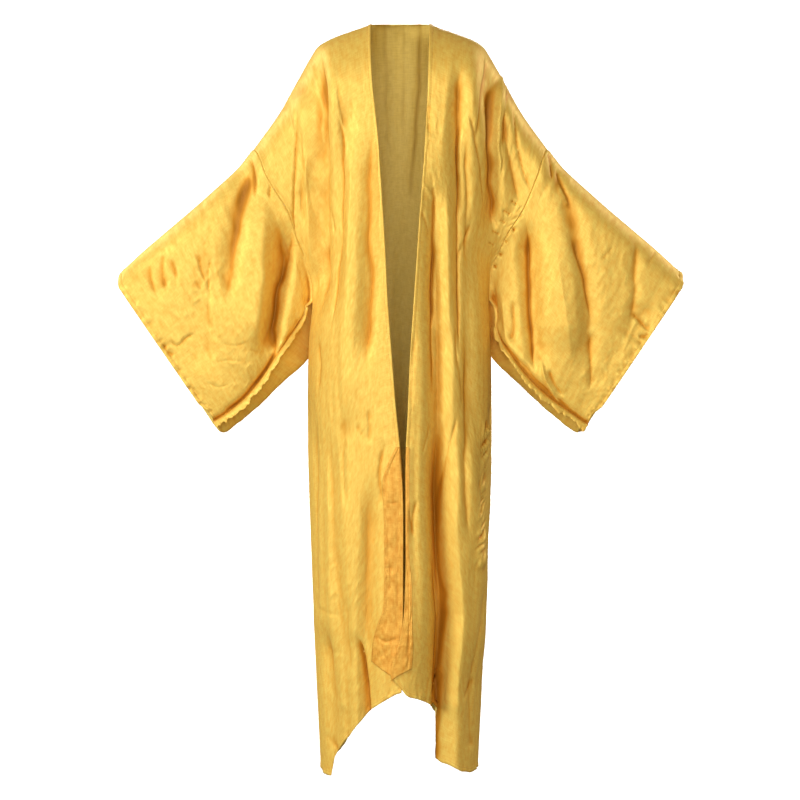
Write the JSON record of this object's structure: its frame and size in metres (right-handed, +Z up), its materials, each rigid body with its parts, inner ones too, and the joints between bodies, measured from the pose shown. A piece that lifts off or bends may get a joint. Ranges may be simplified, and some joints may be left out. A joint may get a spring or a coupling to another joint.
{
  "type": "kimono robe",
  "caption": "Long open-front satin kimono robe with wide square sleeves and turned-out front edges, filled out as if worn.",
  "frame": {"origin": "middle of the neck opening, on the shoulder line", "axes": "+Z up, -Y to the open front, +X to the wearer's left"},
  "size_m": [1.0954, 0.2608, 1.4583],
  "materials": {
    "satin": "gold satin with a soft sheen",
    "facing": "gold satin, turned-out front edge"
  },
  "bodies": {
    "root": {"back": "satin", "front_right": "satin", "front_left": "satin", "sleeve_right": "satin", "sleeve_left": "satin", "facing_right": "facing", "facing_left": "facing"}
  },
  "joints": []
}
